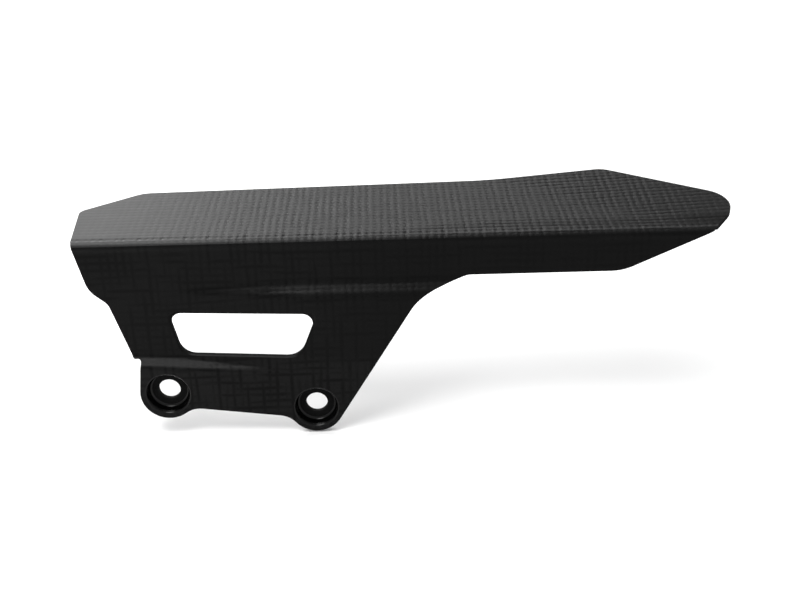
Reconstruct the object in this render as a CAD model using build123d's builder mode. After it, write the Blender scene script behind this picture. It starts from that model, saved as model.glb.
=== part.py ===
"""Motorcycle chain guard: one moulded carbon laminate shell, in millimetres.

X runs along the fold towards the rear wheel, Y points inwards to the wheel and Z is up.
The origin is midway between the two screw holes, on the seat behind their cups.
"""

import os
from math import acos, atan, atan2, cos, radians, sin, sqrt, tan

from build123d import *

os.makedirs("parts", exist_ok=True)

# Laminate and screw cups
wall = 1.4
bolt_spacing = 45.0
bolt_line_fall = 7.7  # degrees, the screw line falls towards the rear
screw_hole = 6.6
recess_width = 12.9
recess_depth = 3.3
recess_draft = 8.0  # degrees
recess_lip_radius = 0.8
cup_floor_radius = 0.9
boss_radius = 8.3

# Fold between the top panel and the side wall
fold_height = 51.0
fold_radius = 2.0
top_rise = 4.0  # degrees, the top panel climbs towards its inner edge
front_x = -45.7
fold_end_x = 139.6

# Top panel seen from above, widths measured from the side wall's outer face
front_sweep = 2.6
front_width = 23.6
front_corner_radius = 3.5
nose_cut_length = 17.1
nose_cut_width = 12.9
nose_corner_radius = 8.0
panel_width = 40.5
peak_x = 114.7
peak_radius = 8.0
tip_x = 152.3
tip_width = 15.4
tip_radius = 9.5

# Rear of the top panel kicks up about a diagonal crease
kick_start_x = 78.0
kick_end_x = 142.0
kick_angle = 8.5
kick_radius = 40.0

# Side wall seen from the outside
shoulder_x = -42.3
shoulder_z = 36.4
shoulder_radius = 8.0
waist_x = -37.2
waist_z = 32.1
waist_radius = 4.0
notch_x = -31.8
notch_z = 14.2
notch_step = 2.5
notch_radius = 1.0
flange_drop = 4.0
boss_blend_radius = 7.0
elbow_x = 54.3
elbow_z = 33.5
elbow_radius = 15.0
rear_edge_x = 68.4
rear_edge_z = 38.6
rear_edge_radius = 6.0
wall_taper_x = 113.9
wall_taper_end_x = 141.5
wall_taper_radius = 15.0

# Outward step of the mounting flange; a flat facet between its two ramps slants from the wall to the flange
step_out = 3.0
facet_front_x = -17.0
facet_rear_x = 21.0
upper_ramp_z = 35.8  # middle of the upper ramp
upper_ramp_front_height = 2.0
upper_ramp_rear_height = 6.5
lower_ramp_z = 9.6  # foot of the lower ramp above the origin
lower_ramp_front_height = 4.2
lower_ramp_rear_height = 1.6
lower_ramp_fall = 0.064

# Window in the bracket
window_top_z = 28.65
window_bottom_front_z = 15.0
window_bottom_rear_z = 14.45
window_top_front_x = -20.1
window_top_rear_x = 24.0
window_bottom_front_x = -17.0
window_bottom_rear_x = 18.4
window_top_radius = 3.0
window_front_radius = 5.0
window_rear_radius = 6.0

# Room that the mould leaves beyond the trimmed outline, and how closely edges are picked
mould_margin = 20.0
tolerance = 0.01

# Values worked out from the sizes above
flange_face = -(recess_depth + wall)
wall_face = flange_face + step_out
bolt_run = bolt_spacing / 2 * cos(radians(bolt_line_fall))
bolt_fall = bolt_spacing / 2 * sin(radians(bolt_line_fall))
front_bolt = Vector(-bolt_run, bolt_fall)
rear_bolt = Vector(bolt_run, -bolt_fall)
inner_edge = wall_face + panel_width
top_normal = Vector(0, -sin(radians(top_rise)), cos(radians(top_rise)))
mould_front = front_x - front_sweep - mould_margin
mould_rear = tip_x + mould_margin
mould_inner = inner_edge + mould_margin
mould_bottom = rear_bolt.Y - boss_radius - mould_margin
mould_top = fold_height + panel_width


def top_height(y):
    """Height of the top panel's front plane at the distance y from the seat."""
    return fold_height + (y - wall_face) * tan(radians(top_rise))


def ramp_shift(step, height, inset):
    """How far a ramp moves down on the mould's inset face, so that the wall keeps its thickness."""
    return inset * tan(atan(2 * step / height) / 2)


def wall_section(x, upper_step, upper_height, lower_step, lower_height, inset):
    """Cross-section of the mould at x: upper wall, two S-shaped ramps and the flange."""
    wall_y = wall_face + inset
    flange_y = flange_face + inset
    upper_z = upper_ramp_z + upper_height / 2 - ramp_shift(upper_step, upper_height, inset)
    lower_z = lower_ramp_z - lower_ramp_fall * x - ramp_shift(lower_step, lower_height, inset)
    upper_half = Vector(0, -upper_height / 2)
    lower_half = Vector(0, -lower_height / 2)
    inner_y = mould_inner + inset
    bottom_z = mould_bottom - inset
    with BuildSketch(Plane.YZ.offset(x)) as section:
        with BuildLine():
            ramp_top = Vector(wall_y, upper_z)
            ramp_foot = Vector(wall_y - upper_step, upper_z - upper_height)
            flange_top = Vector(flange_y + lower_step, lower_z + lower_height)
            flange_foot = Vector(flange_y, lower_z)
            Polyline((inner_y, bottom_z), (inner_y, mould_top), (wall_y, mould_top), ramp_top)
            Bezier(ramp_top, ramp_top + upper_half, ramp_foot - upper_half, ramp_foot)
            Line(ramp_foot, flange_top)
            Bezier(flange_top, flange_top + lower_half, flange_foot - lower_half, flange_foot)
            Polyline(flange_foot, (flange_y, bottom_z), (inner_y, bottom_z))
        make_face()
    return section.sketch


def mould_block(inset):
    """Solid under the guard's outer skin, or under its inner skin when inset by the wall."""
    stations = [
        (mould_front - inset, 0, upper_ramp_front_height, step_out, lower_ramp_front_height),
        (facet_front_x, 0, upper_ramp_front_height, step_out, lower_ramp_front_height),
        (facet_rear_x, step_out, upper_ramp_rear_height, 0, lower_ramp_rear_height),
        (mould_rear + inset, step_out, upper_ramp_rear_height, 0, lower_ramp_rear_height),
    ]
    crease_start = Vector(kick_start_x, inner_edge, top_height(inner_edge))
    crease_end = Vector(kick_end_x, wall_face, fold_height)
    crease_along = (crease_end - crease_start).normalized()
    crease_plane = Plane(crease_start, x_dir=top_normal.cross(crease_along), z_dir=crease_along)
    reach = mould_rear - mould_front
    tangent_length = kick_radius * tan(radians(kick_angle / 2))
    with BuildPart() as block:
        loft([wall_section(*station, inset) for station in stations], ruled=True)
        with BuildSketch(crease_plane):
            with BuildLine():
                flat = Line((-reach, -inset), (-tangent_length, -inset))
                bend = JernArc(flat @ 1, (1, 0), kick_radius + inset, kick_angle)
                kick = PolarLine(bend @ 1, reach, kick_angle)
                Polyline(kick @ 1, ((kick @ 1).X, reach), (-reach, reach), flat @ 0)
            make_face()
        extrude(amount=reach, both=True, mode=Mode.SUBTRACT)
        wall_y = wall_face + inset
        wall_edges = block.edges().filter_by_position(Axis.Y, wall_y - tolerance, wall_y + tolerance)
        fold_edges = wall_edges.filter_by_position(Axis.Z, fold_height - fold_radius, mould_top)
        fillet(fold_edges, fold_radius - inset)
    return block.part


def tangent_point(centre, radius, point, side):
    """Point where a line from point touches a circle, on the side +1 or -1 of that line."""
    offset = point - centre
    turn = side * acos(radius / offset.length)
    angle = atan2(offset.Y, offset.X) + turn
    return centre + Vector(cos(angle), sin(angle)) * radius


# Outline of the top panel, seen from above
front_corner = Vector(front_x - front_sweep, wall_face + front_width)
nose_corner = front_corner + Vector(nose_cut_length, nose_cut_width)
outside = flange_face - mould_margin
with BuildSketch(Plane.XY.offset(mould_bottom)) as top_outline:
    with BuildLine():
        FilletPolyline(
            (front_x, outside),
            (front_x, wall_face),
            front_corner,
            nose_corner,
            (kick_start_x, inner_edge),
            (peak_x, inner_edge),
            (tip_x, wall_face + tip_width),
            (fold_end_x, wall_face),
            (fold_end_x, outside),
            radius=[0, 0, front_corner_radius, nose_corner_radius, 0, peak_radius, tip_radius, 0, 0],
            close=True,
        )
    make_face()

# Outline of the side wall and its bracket, seen from outside
shoulder = Vector(shoulder_x, shoulder_z)
waist = Vector(waist_x, waist_z)
notch = Vector(notch_x, notch_z)
notch_root = notch + Vector(notch_step, 0)
elbow = Vector(elbow_x, elbow_z)
rear_edge = Vector(rear_edge_x, rear_edge_z)
taper_start = Vector(wall_taper_x, rear_edge_z)
taper_end = Vector(wall_taper_end_x, fold_height)
front_top = Vector(front_x, fold_height)
below_line = Vector(-sin(radians(bolt_line_fall)), -cos(radians(bolt_line_fall))) * flange_drop
front_touch = tangent_point(front_bolt, boss_radius, notch_root, 1)
rear_touch = tangent_point(rear_bolt, boss_radius, elbow, -1)
along_line = (rear_bolt - front_bolt).normalized()
boss_half_chord = sqrt(boss_radius**2 - flange_drop**2)
with BuildSketch(Plane.XZ.offset(-wall_face - fold_radius)) as wall_outline:
    with BuildLine():
        FilletPolyline(
            front_top + (front_top - shoulder),
            shoulder,
            waist,
            notch,
            notch_root,
            front_touch,
            front_bolt + below_line,
            rear_bolt + below_line,
            rear_touch,
            elbow,
            rear_edge,
            taper_start,
            taper_end + (taper_end - taper_start),
            radius=[
                0, shoulder_radius, waist_radius, notch_radius, notch_radius, 0, 0, 0, 0,
                elbow_radius, rear_edge_radius, wall_taper_radius, 0,
            ],
            close=True,
        )
    make_face()
    with Locations(front_bolt, rear_bolt):
        Circle(boss_radius)
    front_inside = front_bolt + below_line + along_line * boss_half_chord
    rear_inside = rear_bolt + below_line - along_line * boss_half_chord
    corners = wall_outline.vertices()
    inside_corners = [corners.sort_by_distance(point)[0] for point in (front_inside, rear_inside)]
    fillet(inside_corners, boss_blend_radius)

with BuildSketch(Plane.XZ.offset(-wall_face - fold_radius)) as wall_waste:
    with Locations(((mould_front + mould_rear) / 2, (mould_bottom + mould_top) / 2)):
        Rectangle(mould_rear - mould_front, mould_top - mould_bottom)
    add(wall_outline.sketch, mode=Mode.SUBTRACT)

# Window with rounded corners
with BuildSketch(Plane.XZ.offset(-wall_face - fold_radius)) as window_outline:
    with BuildLine():
        FilletPolyline(
            (window_top_front_x, window_top_z),
            (window_top_rear_x, window_top_z),
            (window_bottom_rear_x, window_bottom_rear_z),
            (window_bottom_front_x, window_bottom_front_z),
            radius=[window_top_radius, window_top_radius, window_rear_radius, window_front_radius],
            close=True,
        )
    make_face()

outer_skin = mould_block(0)
inner_skin = mould_block(wall)

# The guard: mould the shell, trim it, press in the two screw cups and cut the window
trim_depth = wall_face + fold_radius - flange_face + mould_margin
recess_radius = recess_width / 2
floor_radius = recess_radius - recess_depth * tan(radians(recess_draft))
with BuildPart() as chain_guard:
    add(outer_skin)
    add(inner_skin, mode=Mode.SUBTRACT)
    extrude(top_outline.sketch, amount=mould_top - mould_bottom, mode=Mode.INTERSECT)
    extrude(wall_waste.sketch, amount=trim_depth, mode=Mode.SUBTRACT)
    extrude(window_outline.sketch, amount=trim_depth, mode=Mode.SUBTRACT)
    for bolt in (front_bolt, rear_bolt):
        bolt_plane = Plane((bolt.X, 0, bolt.Y), x_dir=(1, 0, 0), z_dir=(0, 0, 1))
        bolt_axis = Axis((bolt.X, 0, bolt.Y), (0, 1, 0))
        with BuildSketch(bolt_plane):
            with BuildLine():
                FilletPolyline(
                    (0, flange_face + wall / 2),
                    (recess_radius + wall, flange_face + wall / 2),
                    (floor_radius + wall, 0),
                    (0, 0),
                    radius=[0, 0, cup_floor_radius + wall / 2, 0],
                    close=True,
                )
            make_face()
        revolve(axis=bolt_axis)
        with BuildSketch(bolt_plane):
            with BuildLine():
                FilletPolyline(
                    (0, flange_face - wall),
                    (recess_radius + 2 * recess_lip_radius, flange_face - wall),
                    (recess_radius + 2 * recess_lip_radius, flange_face),
                    (recess_radius, flange_face),
                    (floor_radius, -wall),
                    (screw_hole / 2, -wall),
                    (screw_hole / 2, wall),
                    (0, wall),
                    radius=[0, 0, 0, recess_lip_radius, cup_floor_radius, 0, 0, 0],
                    close=True,
                )
            make_face()
        revolve(axis=bolt_axis, mode=Mode.SUBTRACT)

chain_guard.part.label = "chain_guard"
export_step(chain_guard.part, "parts/chain_guard.step")
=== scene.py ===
# %% [markdown]
# A chain guard moulded from woven carbon
#
# The guard is one thin shell: a top panel over the chain, a side wall that hangs from the same fold, a bracket
# with a window, and two cups for the screws. Its solid is already exact, so this lesson keeps that mesh and
# gives it its finish: the weave of the cloth, the matte lacquer, the cut edges, the cups and the duller inside.
# The first cell loads the solid and keeps its box, which later cells measure from.

# %% Load the guard
from math import cos, hypot, pi, radians, sin

import bpy
from mathutils import Matrix, Vector


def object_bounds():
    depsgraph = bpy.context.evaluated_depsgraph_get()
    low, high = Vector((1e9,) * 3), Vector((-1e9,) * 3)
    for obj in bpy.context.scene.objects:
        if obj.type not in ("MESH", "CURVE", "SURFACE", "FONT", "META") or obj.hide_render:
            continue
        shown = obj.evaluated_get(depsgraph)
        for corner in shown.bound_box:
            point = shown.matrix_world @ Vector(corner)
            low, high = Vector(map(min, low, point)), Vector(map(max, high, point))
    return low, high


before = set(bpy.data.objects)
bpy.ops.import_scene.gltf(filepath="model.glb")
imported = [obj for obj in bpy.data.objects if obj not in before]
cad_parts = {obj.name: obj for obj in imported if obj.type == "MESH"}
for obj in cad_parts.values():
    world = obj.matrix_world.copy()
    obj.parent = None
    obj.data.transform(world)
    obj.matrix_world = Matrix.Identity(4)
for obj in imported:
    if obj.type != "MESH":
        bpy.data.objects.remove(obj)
cad_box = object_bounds()
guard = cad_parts["chain_guard"]
MM = 0.001
print("guard size in mm:", [round(side / MM, 1) for side in cad_box[1] - cad_box[0]])

# %% [markdown]
# The camera
#
# A product shot of a thin part is taken from close by, so perspective matters: the place, tilt and lens have to
# go together. The camera starts level, looking along the part's Y axis. It is then tilted down, turned a
# little sideways and rolled a little, in that order, which three rotation matrices say most plainly.

# %% Camera
CAMERA_PLACE = Vector((42.1, -280.8, 161.2)) * MM
LOOK_DOWN = radians(25.0)
TURN = radians(-1.30)
ROLL = radians(-0.98)
FOCAL_LENGTH = 46.98  # in millimetres, as is the sensor's width
SENSOR_WIDTH = 36.0
NEAREST_SEEN = 10 * MM

camera_data = bpy.data.cameras.new("product_camera")
camera_data.lens = FOCAL_LENGTH
camera_data.sensor_width = SENSOR_WIDTH
camera_data.clip_start = NEAREST_SEEN
camera = bpy.data.objects.new("product_camera", camera_data)
tilt = Matrix.Rotation(radians(90) - LOOK_DOWN, 4, "X")
turned = Matrix.Rotation(TURN, 4, "Z") @ tilt @ Matrix.Rotation(ROLL, 4, "Z")
camera.matrix_world = Matrix.Translation(CAMERA_PLACE) @ turned
bpy.context.scene.collection.objects.link(camera)
bpy.context.scene.camera = camera
print("camera at", [round(value / MM) for value in CAMERA_PLACE], "mm")

# %% [markdown]
# Small helpers for node trees
#
# A material is a tree of nodes. Making each node, setting its values and joining its sockets takes three lines
# every time, so short helpers do it. `add` makes a node, and any input given as a socket is linked while any
# input given as a number is set. `maths` and `ramp` do the same for the two nodes that this lesson uses most.


# %% Node helpers
def add(tree, kind, inputs=(), **settings):
    """Make a node, set its settings, then link or set each of its inputs."""
    node = tree.nodes.new(kind)
    for name, value in settings.items():
        setattr(node, name, value)
    for name, value in dict(inputs).items():
        if isinstance(value, bpy.types.NodeSocket):
            tree.links.new(value, node.inputs[name])
        else:
            node.inputs[name].default_value = value
    return node


def maths(tree, operation, first, second=0.0, third=0.0):
    """Make a Math node and return its output."""
    node = add(tree, "ShaderNodeMath", {0: first, 1: second, 2: third}, operation=operation)
    return node.outputs[0]


def ramp(tree, value, start, end, low, high):
    """Go smoothly from low to high while the value goes from start to end."""
    inputs = {"Value": value, "From Min": start, "From Max": end, "To Min": low, "To Max": high}
    return add(tree, "ShaderNodeMapRange", inputs, interpolation_type="SMOOTHSTEP").outputs["Result"]


def new_group(name, inputs, outputs):
    """Make a node group with named values going in and out, and return it with its two end nodes."""
    group = bpy.data.node_groups.new(name, "ShaderNodeTree")
    for label, value in inputs.items():
        socket = group.interface.new_socket(label, in_out="INPUT", socket_type="NodeSocketFloat")
        socket.default_value = value
    for label in outputs:
        group.interface.new_socket(label, in_out="OUTPUT", socket_type="NodeSocketFloat")
    return group, group.nodes.new("NodeGroupInput").outputs, group.nodes.new("NodeGroupOutput").inputs


# %% [markdown]
# The rows of the cloth
#
# Plain weave is the simplest cloth: flat bundles of fibre, called tows, cross at right angles, and each goes over
# one and under the next. The cloth is laid over the fold of the mould, so the pattern has to run on from the top
# panel to the side wall without a seam. No unwrapping is needed for that: the way across the cloth grows with Y
# on the flat panel and with Z on the upright wall, so Y plus Z follows the cloth round the corner.
# Dividing by the tow's width counts the tows, and a little noise keeps the rows from being perfectly straight.
# Each tow is half a sine wave wide. Where the two waves have the same sign, the lengthwise tow is on top.

# %% Rows of tows
FOLD_ROW = 52.2 * MM  # Y plus Z at the furrow beside the fold's own tow
CROSSING = 0.15  # how gently one tow gives way to the other where they cross
weave, weave_in, weave_out = new_group(
    "Plain weave", {"Tow width": 2.2 * MM, "Unevenness": 0.4}, ["Relief", "Gaps", "Tone", "Shade"]
)
place = add(weave, "ShaderNodeTexCoord").outputs["Object"]
axes = add(weave, "ShaderNodeSeparateXYZ", {0: place}).outputs
round_fold = maths(weave, "ADD", axes["Y"], axes["Z"])
across = maths(weave, "SUBTRACT", round_fold, FOLD_ROW)
drift = add(weave, "ShaderNodeTexNoise", {"Vector": place, "Scale": 55.0, "Detail": 2.0}).outputs["Color"]
drift_axes = add(weave, "ShaderNodeSeparateXYZ", {0: drift}).outputs


def tow_count(distance, noise):
    """Count the tows from the origin to here, a little unevenly as in real cloth."""
    shift = maths(weave, "MULTIPLY", maths(weave, "SUBTRACT", noise, 0.5), weave_in["Unevenness"])
    return maths(weave, "ADD", maths(weave, "DIVIDE", distance, weave_in["Tow width"]), shift)


def tow_wave(count):
    """A wave that is nought in each furrow and has opposite signs on neighbouring tows."""
    return maths(weave, "SINE", maths(weave, "MULTIPLY", count, pi))


def gap_beside(wave):
    """One in the furrow between two tows, falling to nought on the middle of a tow."""
    return maths(weave, "SUBTRACT", 1.0, maths(weave, "MULTIPLY", wave, wave))


along_count = tow_count(axes["X"], drift_axes["X"])
across_count = tow_count(across, drift_axes["Y"])
along_wave = tow_wave(along_count)
across_wave = tow_wave(across_count)
along_gap = gap_beside(along_wave)
across_gap = gap_beside(across_wave)
on_top = ramp(weave, maths(weave, "MULTIPLY", along_wave, across_wave), -CROSSING, CROSSING, 0.0, 1.0)
print("rows of tows:", len(weave.nodes), "nodes")

# %% [markdown]
# The relief of the tows
#
# Seen close, a tow is a low pillow. It is rounded from side to side, dips a little at its ends where it goes
# under its neighbours, and leaves a small pit where four of them meet. The lacquer fills some of this, so the
# furrows come and go, and each gets noise that is drawn out along it. The fibres are finer noise, squeezed
# across a tow and drawn out along it. All of this is counted in tows, so it follows the cloth.

# %% Tow relief
FURROW_NOISE = (0.8, 0.15)  # changes of the noise per tow, across a furrow and along it
FIBRE_NOISE = (14.0, 0.7)  # the same for the fibres
LACQUER_FILLS = (0.35, 0.65)  # the noise at which a furrow is nearly full and at which it is bare
FURROW_DEPTH = (0.1, 1.1)  # the furrow's depth at these two
END_DIP = 0.6
PIT_DEPTH = 0.5


def drawn_noise(along_changes, across_changes):
    """Noise in the cloth's own rows, drawn out along one way of the cloth or the other."""
    counts = add(weave, "ShaderNodeCombineXYZ", {"X": along_count, "Y": across_count}).outputs[0]
    stretch = (along_changes, across_changes, 1.0)
    drawn = add(weave, "ShaderNodeVectorMath", {0: counts, 1: stretch}, operation="MULTIPLY").outputs["Vector"]
    return add(weave, "ShaderNodeTexNoise", {"Vector": drawn, "Scale": 1.0, "Detail": 1.0}).outputs["Fac"]


def furrow(gap, noise):
    """A rounded furrow between tows that the lacquer fills in some places."""
    return maths(weave, "MULTIPLY", gap, ramp(weave, noise, *LACQUER_FILLS, *FURROW_DEPTH))


def pillow(side, end):
    """Height of one tow: rounded from side to side, with shallower dips at its two ends."""
    return maths(weave, "MULTIPLY_ADD", end, -END_DIP, maths(weave, "MULTIPLY", side, -1.0))


def by_tow(crosswise, lengthwise):
    """Choose between the crosswise and the lengthwise tow's value. Inputs 2 and 3 of a Mix node are numbers."""
    return add(weave, "ShaderNodeMix", {0: on_top, 2: crosswise, 3: lengthwise}).outputs[0]


columns = furrow(along_gap, drawn_noise(*FURROW_NOISE))
rows = furrow(across_gap, drawn_noise(*reversed(FURROW_NOISE)))
gaps = maths(weave, "MULTIPLY", along_gap, across_gap)
pillows = maths(weave, "MULTIPLY_ADD", gaps, -PIT_DEPTH, by_tow(pillow(columns, rows), pillow(rows, columns)))
fibres = by_tow(drawn_noise(*FIBRE_NOISE), drawn_noise(*reversed(FIBRE_NOISE)))
lines = maths(weave, "MAXIMUM", columns, rows)
print("tow relief:", len(weave.nodes), "nodes so far")

# %% [markdown]
# Where the cloth shows, and painted light on the wall
#
# The lacquer is thickest at the nose and the tip and runs down the wall, so the relief is weaker there. The colour
# is the cloth's own grey, with dark lines in the furrows, and it carries painted light: it is painted lighter on
# the front of the wall than at its rear, standing in for the lamps on the left. It is lighter on the flange too.
# Each of these is a smooth ramp along X, along Z or round the fold.

# %% Where the cloth shows, and painted light on the wall
NOSE = (-48 * MM, 20 * MM)  # along X
TIP = (120 * MM, 150 * MM)
FRONT_ENDS = (15 * MM, 50 * MM)
FLANGE_ENDS = (10 * MM, 16 * MM)  # along Z
WALL_TO_PANEL = (46 * MM, 51 * MM)  # Y plus Z
NOSE_RELIEF = 0.12
TIP_RELIEF = 0.5
WALL_RELIEF = 0.3
GREY, FIBRE_GREY, LINE_GREY = 0.35, 0.5, -0.6
# Painted light: the front and rear levels paint the front of the wall lighter than its rear; the flange level
# makes the flange lighter.
FRONT_PAINTED_LIGHT, REAR_PAINTED_LIGHT, FLANGE_SHADE = 0.5, 0.2, 0.5

after_nose = ramp(weave, axes["X"], *NOSE, NOSE_RELIEF, 1.0)
before_tip = ramp(weave, axes["X"], *TIP, 1.0, TIP_RELIEF)
on_panel = ramp(weave, round_fold, *WALL_TO_PANEL, WALL_RELIEF, 1.0)
bare = maths(weave, "MULTIPLY", maths(weave, "MULTIPLY", after_nose, before_tip), on_panel)
fibre_tone = maths(weave, "MULTIPLY_ADD", fibres, FIBRE_GREY, GREY)
tone = maths(weave, "MULTIPLY_ADD", lines, LINE_GREY, fibre_tone)
# Painted light: the colour is made lighter on the front of the wall than at its rear.
front_painted_light = ramp(weave, axes["X"], *FRONT_ENDS, FRONT_PAINTED_LIGHT, REAR_PAINTED_LIGHT)
on_flange = ramp(weave, axes["Z"], *FLANGE_ENDS, FLANGE_SHADE, 0.0)
shade = maths(weave, "MULTIPLY", tone, maths(weave, "ADD", front_painted_light, on_flange))
print("where the cloth shows:", len(weave.nodes), "nodes so far")

# %% [markdown]
# The cloth at the fold
#
# Round the fold the cloth is stretched. Beside it the surface sags, in a narrow dotted row of pits at the front
# and in a wide soft band towards the rear, and the tow on the corner itself stands proud as a bead. Both
# are heights that depend on Y plus Z, so they follow the fold, and X says how wide the sag is. All heights are
# in millimetres, so that the Bump node can use them as they are.

# %% Fold relief
TOW_RELIEF = 0.1
FOLD_CORNER = 48.6 * MM  # Y plus Z on the corner of the fold
SAG_EDGE = 51.6 * MM  # Y plus Z where the sag ends and the fold begins
REAR_STARTS = (40 * MM, 75 * MM)  # along X
BEAD_REACH = 2.2 * MM
PIT_REACH = 1.5 * MM
PIT_HEIGHT = -0.12


def front_to_rear(front, rear):
    """A value that changes along the fold, from the front part to the rear part."""
    return ramp(weave, axes["X"], *REAR_STARTS, front, rear)


sag_end = front_to_rear(SAG_EDGE + 2.4 * MM, SAG_EDGE + 8.4 * MM)
sag = ramp(weave, round_fold, SAG_EDGE, sag_end, front_to_rear(-0.2, -0.6), 0.0)
from_corner = maths(weave, "ABSOLUTE", maths(weave, "SUBTRACT", round_fold, FOLD_CORNER))
bead = ramp(weave, from_corner, 0.0, BEAD_REACH, front_to_rear(0.5, 0.25), 0.0)
pit_row = ramp(weave, maths(weave, "ABSOLUTE", across), 0.0, PIT_REACH, PIT_HEIGHT, 0.0)
pits = maths(weave, "MULTIPLY", pit_row, columns)
tow_height = maths(weave, "MULTIPLY", maths(weave, "MULTIPLY", pillows, bare), TOW_RELIEF)
outputs = {
    "Relief": maths(weave, "ADD", maths(weave, "ADD", tow_height, pits), maths(weave, "ADD", sag, bead)),
    "Gaps": maths(weave, "MULTIPLY", gaps, bare),
    "Tone": tone,
    "Shade": shade,
}
for label, value in outputs.items():
    weave.links.new(value, weave_out[label])
print("weave group:", len(weave.nodes), "nodes, giving", ", ".join(outputs))

# %% [markdown]
# The rounded rim of the window
#
# The lacquer rounds the outer rim of the window, and its sill catches a thin line of light. The rim is only a
# few tenths of a millimetre wide, so it is bump too. Its height depends on the distance to the window's outline,
# which is the greatest of the distances to its four sides. A smooth maximum rounds the corners, and
# the slope is steepest on the outline itself, as on any rounded edge.

# %% Window rim
WINDOW = [(-20.1, 28.65), (-17.0, 15.0), (18.4, 14.45), (24.0, 28.65)]  # corners in millimetres, X and Z
RIM_WIDTH = 0.7
RIM_DEPTH = 0.6
rim, rim_in, rim_out = new_group("Window rim", {"Corner rounding": 5.5}, ["Relief"])
rim_place = add(rim, "ShaderNodeTexCoord").outputs["Object"]
rim_axes = add(rim, "ShaderNodeSeparateXYZ", {0: rim_place}).outputs


def beyond_line(first, second):
    """Distance in millimetres beyond the line between two corners, to the right when going along it."""
    run = Vector(second) - Vector(first)
    outwards = Vector((run.y, -run.x)).normalized()
    by_x = maths(rim, "MULTIPLY_ADD", rim_axes["X"], outwards.x / MM, -outwards.dot(Vector(first)))
    return maths(rim, "MULTIPLY_ADD", rim_axes["Z"], outwards.y / MM, by_x)


sides = [beyond_line(first, second) for first, second in zip(WINDOW, WINDOW[1:] + WINDOW[:1])]
beyond = sides[0]
for side in sides[1:]:
    beyond = maths(rim, "SMOOTH_MAX", beyond, side, rim_in["Corner rounding"])
rim.links.new(ramp(rim, beyond, -RIM_WIDTH, RIM_WIDTH, -RIM_DEPTH, RIM_DEPTH), rim_out["Relief"])
print("window rim:", len(rim.nodes), "nodes")

# %% [markdown]
# Helpers for the finishes
#
# Every finish on the guard is one Principled shader. What differs is the strength of its reflection, which is set
# on the shader itself, and what drives its colour, its roughness and its surface. A few helpers keep that short.


# %% Finish helpers
def plain_material(name, reflection):
    """Make a material with a Principled shader and return it with its tree and shader."""
    material = bpy.data.materials.new(name)
    material.use_nodes = True
    shader = material.node_tree.nodes["Principled BSDF"]
    shader.inputs["Specular IOR Level"].default_value = reflection
    return material, material.node_tree, shader


def feed(tree, shader, values):
    """Link each value to the shader's input of that name."""
    for name, value in values.items():
        tree.links.new(value, shader.inputs[name])


def greys(tree, factor, dark, light):
    """Mix two greys by a factor. Inputs 6 and 7 and output 2 of a Mix node are colours."""
    colours = {0: factor, 6: (dark, dark, dark, 1), 7: (light, light, light, 1)}
    return add(tree, "ShaderNodeMix", colours, data_type="RGBA").outputs[2]


def surface_noise(tree, scale, detail):
    """Noise that stays fixed to the guard."""
    spot = add(tree, "ShaderNodeTexCoord").outputs["Object"]
    return add(tree, "ShaderNodeTexNoise", {"Vector": spot, "Scale": scale, "Detail": detail}).outputs["Fac"]


def bumps(tree, height, depth):
    """Turn a height into a bumpy surface."""
    return add(tree, "ShaderNodeBump", {"Height": height, "Distance": depth}).outputs["Normal"]


# %% [markdown]
# Matte carbon
#
# The cloth is almost black, and it is sealed under a matte lacquer. The lacquer is what catches the light: at a
# low angle it turns the top panel grey, while the side wall that faces the camera stays dark. One rough
# Principled shader with a weak reflection does that. The weave and the window's rim are added up to one height
# for its bump, and the weave also changes its colour and roughness slightly. Its colour also carries painted
# light, which makes the front of the wall lighter.

# %% Matte carbon material
CARBON_REFLECTION = 0.078
CLOTH_GREY = 0.010
matte_carbon, tree, shader = plain_material("matte_carbon", CARBON_REFLECTION)
cloth = add(tree, "ShaderNodeGroup", node_tree=weave).outputs
rim_relief = add(tree, "ShaderNodeGroup", node_tree=rim).outputs["Relief"]
dullness = maths(tree, "MULTIPLY_ADD", cloth["Tone"], 0.08, 0.38)
feed(tree, shader, {
    # The weave's Shade is the cloth's grey with painted light: lighter on the front of the wall.
    "Base Color": greys(tree, cloth["Shade"], 0.0, CLOTH_GREY),
    "Roughness": maths(tree, "MULTIPLY_ADD", cloth["Gaps"], 0.15, dullness),
    "Normal": bumps(tree, maths(tree, "ADD", cloth["Relief"], rim_relief), MM),
})
print(matte_carbon.name, "has", len(tree.nodes), "nodes")

# %% [markdown]
# Cut edges, cups and the inside
#
# The moulded shell is sawn to its outline, drilled and sanded, so its edges show the grain of the cut and no
# weave. The inside was pressed by a bag instead of the mould: its weave is softer, under a dull film of resin
# with a fine orange-peel surface. The cups were pressed by a polished tool, so their skin is smoother and
# catches sharp arcs of light. Noise textures at three scales keep each of them from looking like plain paint.

# %% Edge, cup and inside materials
trimmed_edge, tree, shader = plain_material("trimmed_edge", 0.02)
grain = surface_noise(tree, 1600.0, 3.0)
shader.inputs["Roughness"].default_value = 0.7
feed(tree, shader, {"Base Color": greys(tree, grain, 0.004, 0.013), "Normal": bumps(tree, grain, 0.03 * MM)})

cup_skin, tree, shader = plain_material("cup_skin", 0.16)
smears = surface_noise(tree, 500.0, 2.0)
feed(tree, shader, {
    "Base Color": greys(tree, smears, 0.0, 0.002),
    "Roughness": maths(tree, "MULTIPLY_ADD", smears, 0.1, 0.14),
})

inside_skin, tree, shader = plain_material("inside_skin", 0.15)
inner_relief = add(tree, "ShaderNodeGroup", node_tree=weave).outputs["Relief"]
peel = surface_noise(tree, 700.0, 2.0)
feed(tree, shader, {
    "Base Color": greys(tree, peel, 0.004, 0.010),
    "Roughness": maths(tree, "MULTIPLY_ADD", peel, 0.2, 0.45),
    "Normal": bumps(tree, maths(tree, "MULTIPLY_ADD", peel, 0.04, inner_relief), 0.6 * MM),
})
print("made", trimmed_edge.name, cup_skin.name, "and", inside_skin.name)

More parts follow.
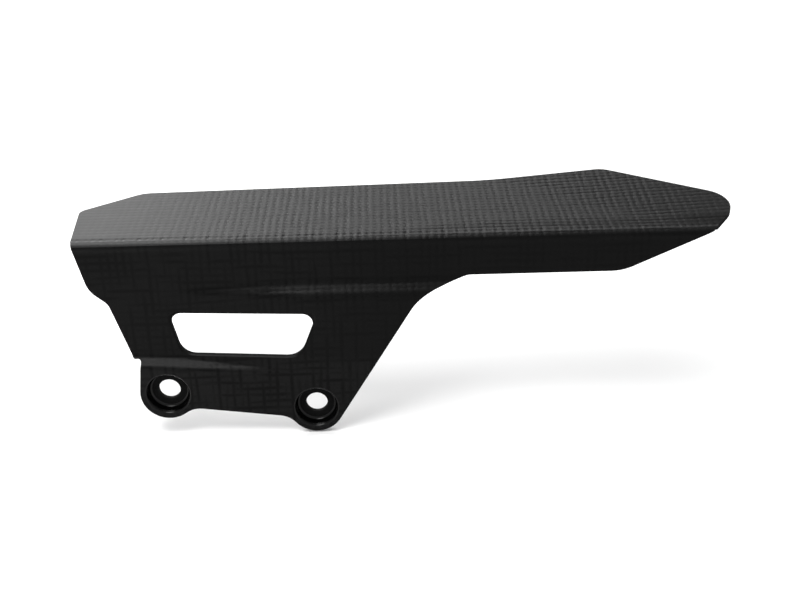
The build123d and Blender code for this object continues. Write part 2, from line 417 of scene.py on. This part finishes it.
# %% [markdown]
# Which face is which
#
# All four finishes go on the one mesh, face by face. The panel was trimmed straight down and the wall straight
# through, so a cut face has a normal with no Z above and with no Y below. Of the moulded faces, those
# that look inwards, with a normal towards plus Y, belong to the inside. The rest is the outside, and a face of it
# that is near a screw's axis and behind the flange is in a cup. The flat floor of a cup is faced for the screw's
# head, so it counts as cut too.

# %% Finishes by face
FLAT = 0.02
UPRIGHT = 0.98
WALL_TOP = cad_box[1].z - 19 * MM
PANEL_START = 5 * MM
BOLT_SPACING = 45 * MM
BOLT_FALL = radians(7.7)
CUP_REACH = 7.4 * MM
CUP_START = cad_box[0].y + 0.02 * MM
rear_bolt = Vector((cos(BOLT_FALL), 0.0, -sin(BOLT_FALL))) * BOLT_SPACING / 2
bolts = [-rear_bolt, rear_bolt]


def is_cut(face):
    """Tell whether a face was sawn or drilled."""
    if face.center.z < WALL_TOP:
        return abs(face.normal.y) < FLAT
    return abs(face.normal.z) < FLAT and (abs(face.normal.y) < UPRIGHT or face.center.y > PANEL_START)


def in_cup(face):
    """Tell whether a face that looks outwards belongs to a screw cup."""
    away = min(hypot(face.center.x - bolt.x, face.center.z - bolt.z) for bolt in bolts)
    return away < CUP_REACH and face.center.y > CUP_START


def finish_of(face):
    """Choose the finish of a face."""
    if is_cut(face) or (in_cup(face) and face.normal.y < FLAT - 1):
        return trimmed_edge
    if face.normal.y > FLAT:
        return inside_skin
    return cup_skin if in_cup(face) else matte_carbon


finishes = [matte_carbon, trimmed_edge, inside_skin, cup_skin]
guard.data.materials.clear()
for finish in finishes:
    guard.data.materials.append(finish)
counts = [0] * len(finishes)
for face in guard.data.polygons:
    face.material_index = finishes.index(finish_of(face))
    counts[face.material_index] += 1
print("faces outside, cut, inside and in the cups:", counts)

# %% [markdown]
# Floor and background
#
# The part is shown on white. A pale floor under it takes the soft shadow, and the room around is white. A small
# glow lifts the floor to white in the picture and in reflections. It grows with the distance, because the lamps
# light only the floor nearby. The room gives less light to matt surfaces than it shows, so that the lamps still
# shape the part.

# %% Floor and white room
FLOOR_GAP = 0.5 * MM
FLOOR_REACH = 6.0
FLOOR_GREY = (0.85, 0.85, 0.85, 1)
WHITE = (1, 1, 1, 1)
NEAR_GLOW, FAR_GLOW = 0.1, 0.8
GLOW_GROWS = (0.2, 1.0)  # metres from the part
ROOM_LIGHT = 0.25


def seen_rays(tree):
    """One for rays that show the background directly, in a reflection or through glass, otherwise nought."""
    rays = add(tree, "ShaderNodeLightPath").outputs
    seen = maths(tree, "MAXIMUM", rays["Is Camera Ray"], rays["Is Glossy Ray"])
    return maths(tree, "MAXIMUM", seen, rays["Is Transmission Ray"])


level = cad_box[0].z - FLOOR_GAP
corners = [(-1, -1), (1, -1), (1, 1), (-1, 1)]
floor_mesh = bpy.data.meshes.new("pale_floor")
floor_mesh.from_pydata([(x * FLOOR_REACH, y * FLOOR_REACH, level) for x, y in corners], [], [(0, 1, 2, 3)])
floor = bpy.data.objects.new("pale_floor", floor_mesh)
bpy.context.scene.collection.objects.link(floor)
floor_material, tree, shader = plain_material("pale_floor", 0.0)
shader.inputs["Roughness"].default_value = 0.9
shader.inputs["Base Color"].default_value = FLOOR_GREY
shader.inputs["Emission Color"].default_value = WHITE
floor_place = add(tree, "ShaderNodeTexCoord").outputs["Object"]
away = add(tree, "ShaderNodeVectorMath", {0: floor_place}, operation="LENGTH").outputs["Value"]
glow = ramp(tree, away, *GLOW_GROWS, NEAR_GLOW, FAR_GLOW)
feed(tree, shader, {"Emission Strength": maths(tree, "MULTIPLY", seen_rays(tree), glow)})
floor_mesh.materials.append(floor_material)

world = bpy.data.worlds.new("white_room")
world.use_nodes = True
tree = world.node_tree
background = tree.nodes["Background"]
background.inputs["Color"].default_value = WHITE
feed(tree, background, {"Strength": ramp(tree, seen_rays(tree), 0.0, 1.0, ROOM_LIGHT, 1.0)})
bpy.context.scene.world = world
print("floor at", round(level / MM, 1), "mm")

# %% [markdown]
# Lamps
#
# Matte black shows only what it reflects, so the lamps are placed by reflection. Three large softboxes behind,
# two of them on the left, fade along the top panel, because the panel mirrors that side of the room. Three small
# ones overhead pick out the fold, the ramps of the bracket and the arcs in the cups, which all lean upwards.

# %% Softboxes
LARGE = 0.45
SMALL = 0.22
middle = (cad_box[0] + cad_box[1]) / 2


def softbox(name, place, size, watts):
    """A soft square lamp at a place measured in metres from the middle of the guard, facing it."""
    lamp = bpy.data.lights.new(name, "AREA")
    lamp.shape = "SQUARE"
    lamp.size = size
    lamp.energy = watts
    lamp_object = bpy.data.objects.new(name, lamp)
    lamp_object.location = middle + Vector(place)
    lamp_object.rotation_mode = "QUATERNION"
    lamp_object.rotation_quaternion = (-Vector(place)).to_track_quat("-Z", "Y")
    lamp_object.visible_camera = False
    bpy.context.scene.collection.objects.link(lamp_object)
    return lamp_object


lamps = [
    softbox("rear_left_softbox", (-0.324, 0.694, 0.643), LARGE, watts=3.2),
    softbox("low_rear_left_softbox", (-0.483, 0.837, 0.259), LARGE, watts=1.9),
    softbox("rear_softbox", (0.0, 0.766, 0.643), LARGE, watts=2.2),
    softbox("overhead_rear_softbox", (-0.15, 0.25, 0.40), SMALL, watts=0.95),
    softbox("overhead_softbox", (-0.12, 0.0, 0.45), SMALL, watts=1.15),
    softbox("overhead_front_softbox", (-0.15, -0.20, 0.42), SMALL, watts=1.7),
]
bpy.context.scene.view_settings.view_transform = "Standard"
print("lamps:", ", ".join(lamp.name for lamp in lamps))
